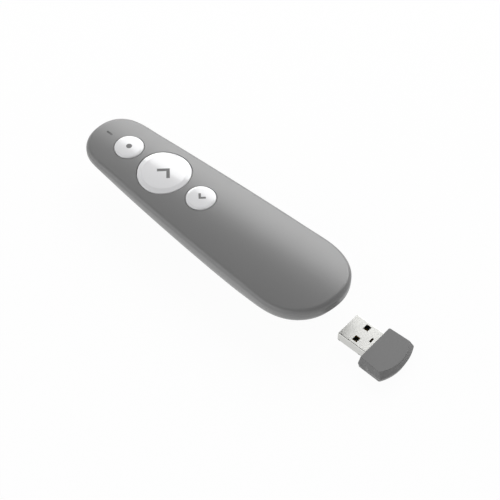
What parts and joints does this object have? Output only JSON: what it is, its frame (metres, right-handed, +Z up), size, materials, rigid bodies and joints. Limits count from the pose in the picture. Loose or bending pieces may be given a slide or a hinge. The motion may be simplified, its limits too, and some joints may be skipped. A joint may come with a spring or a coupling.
{
  "type": "wireless presentation clicker",
  "caption": "Hand-held presentation clicker with round domed buttons, laser window, status light, battery door, and a plug-in USB receiver that slides into a dock in its tail.",
  "frame": {"origin": "on the surface that the handset lies on, under the middle of its length, on its centre plane", "axes": "+Z up, +Y from the tail to the laser end, +X to the right as it is held"},
  "size_m": [0.0398, 0.1644, 0.019],
  "materials": {
    "shell_grey": "soft satin",
    "case_grey": "fine matt",
    "button_white": "satin",
    "receiver_grey": "fine matt",
    "plug_steel": "satin",
    "spring_steel": "bright",
    "screw_steel": "black zinc",
    "contact_gold": "gold plate",
    "brass_barrel": "turned",
    "cell": "wrapped",
    "board": "solder resist",
    "chip": "matt",
    "tongue": "matt",
    "led": "clear",
    "light_pipe": "clear",
    "lens": "clear",
    "window_dark": "tinted"
  },
  "bodies": {
    "handset": {"top_cover": "shell_grey", "bottom_case": "case_grey", "main_board": "board", "laser_switch": "spring_steel", "next_switch": "spring_steel", "back_switch": "spring_steel", "status_led": "led", "light_pipe": "light_pipe", "laser_barrel": "brass_barrel", "laser_lens": "lens", "laser_window": "window_dark", "radio_chip": "chip", "radio_shield": "spring_steel", "aaa_cell": "cell", "negative_spring": "spring_steel", "positive_contact": "spring_steel", "case_screws": "screw_steel", "dock_catch": "spring_steel"},
    "laser_key": {"laser_button": "button_white"},
    "next_key": {"next_button": "button_white"},
    "back_key": {"back_button": "button_white"},
    "door": {"battery_door": "case_grey"},
    "receiver": {"receiver_upper_shell": "receiver_grey", "receiver_lower_shell": "receiver_grey", "usb_plug_shell": "plug_steel", "usb_tongue": "tongue", "contact_strips": "contact_gold", "receiver_board": "board", "receiver_chip": "chip"}
  },
  "joints": [
    {"name": "laser_press", "type": "slide", "parent": "handset", "child": "laser_key", "axis": [0, 0, -1], "range_m": [0, 0.00035], "stiffness_N_per_m": 1500},
    {"name": "next_press", "type": "slide", "parent": "handset", "child": "next_key", "axis": [0, 0, -1], "range_m": [0, 0.00035], "stiffness_N_per_m": 1500},
    {"name": "back_press", "type": "slide", "parent": "handset", "child": "back_key", "axis": [0, 0, -1], "range_m": [0, 0.00035], "stiffness_N_per_m": 1500},
    {"name": "door_lift_off", "type": "slide", "parent": "handset", "child": "door", "axis": [0, 0, -1], "range_m": [0, 0.012]},
    {"name": "receiver_docking", "type": "slide", "parent": "handset", "child": "receiver", "axis": [0, 1, 0], "range_m": [0, 0.0416]}
  ]
}
